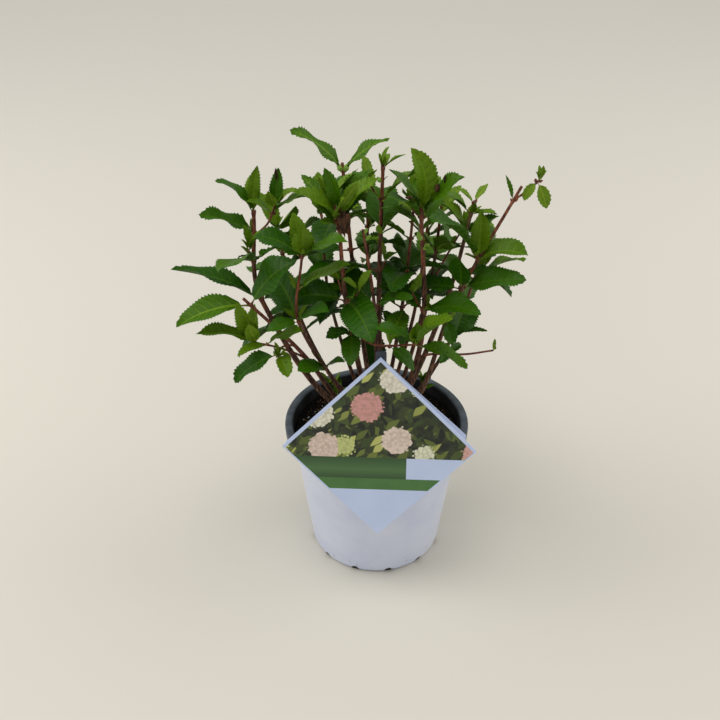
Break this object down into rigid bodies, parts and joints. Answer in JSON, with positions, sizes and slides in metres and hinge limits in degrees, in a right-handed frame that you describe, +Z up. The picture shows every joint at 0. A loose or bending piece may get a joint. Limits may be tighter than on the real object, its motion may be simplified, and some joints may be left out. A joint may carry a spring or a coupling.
{
  "type": "potted hydrangea shrub",
  "caption": "Young panicle hydrangea with slender fanned stems and opposite toothed leaves, in a tapered nursery pot with potting soil and a blank folded card on a stake.",
  "frame": {"origin": "centre of the pot's flat underside, on the ground", "axes": "+Z up, +X to the plant's right as seen from the card's side, +Y to its back"},
  "size_m": [0.3116, 0.2347, 0.4116],
  "materials": {
    "leaf": "green leaves with paler veins, slightly glossy",
    "bark": "matt red-brown to grey-brown bark",
    "pot": "white wall, dark slate-grey rim and inside",
    "soil": "loose dark potting mix of bark and peat with pale grains",
    "card": null,
    "stake": "satin blue-grey plastic"
  },
  "bodies": {
    "root": {"card_back": "card", "card_front": "card", "label_stake": "stake", "leaves_back_far_left": "leaf", "leaves_back_left": "leaf", "leaves_back_mid": "leaf", "leaves_back_right": "leaf", "leaves_far_right": "leaf", "leaves_front_rosette": "leaf", "leaves_left_centre": "leaf", "leaves_left_low": "leaf", "leaves_left_tall": "leaf", "leaves_mid_back": "leaf", "leaves_mid_front": "leaf", "leaves_right_back": "leaf", "leaves_right_brown": "leaf", "leaves_right_front": "leaf", "leaves_right_low": "leaf", "leaves_right_mid": "leaf", "leaves_sucker_left": "leaf", "leaves_sucker_right": "leaf", "leaves_top_centre": "leaf", "pot": "pot", "root_crown": "bark", "soil": "soil", "stem_back_far_left": "bark", "stem_back_left": "bark", "stem_back_mid": "bark", "stem_back_right": "bark", "stem_far_right": "bark", "stem_front_rosette": "bark", "stem_left_centre": "bark", "stem_left_low": "bark", "stem_left_tall": "bark", "stem_mid_back": "bark", "stem_mid_front": "bark", "stem_right_back": "bark", "stem_right_brown": "bark", "stem_right_front": "bark", "stem_right_low": "bark", "stem_right_mid": "bark", "stem_sucker_left": "bark", "stem_sucker_right": "bark", "stem_top_centre": "bark"}
  },
  "joints": []
}
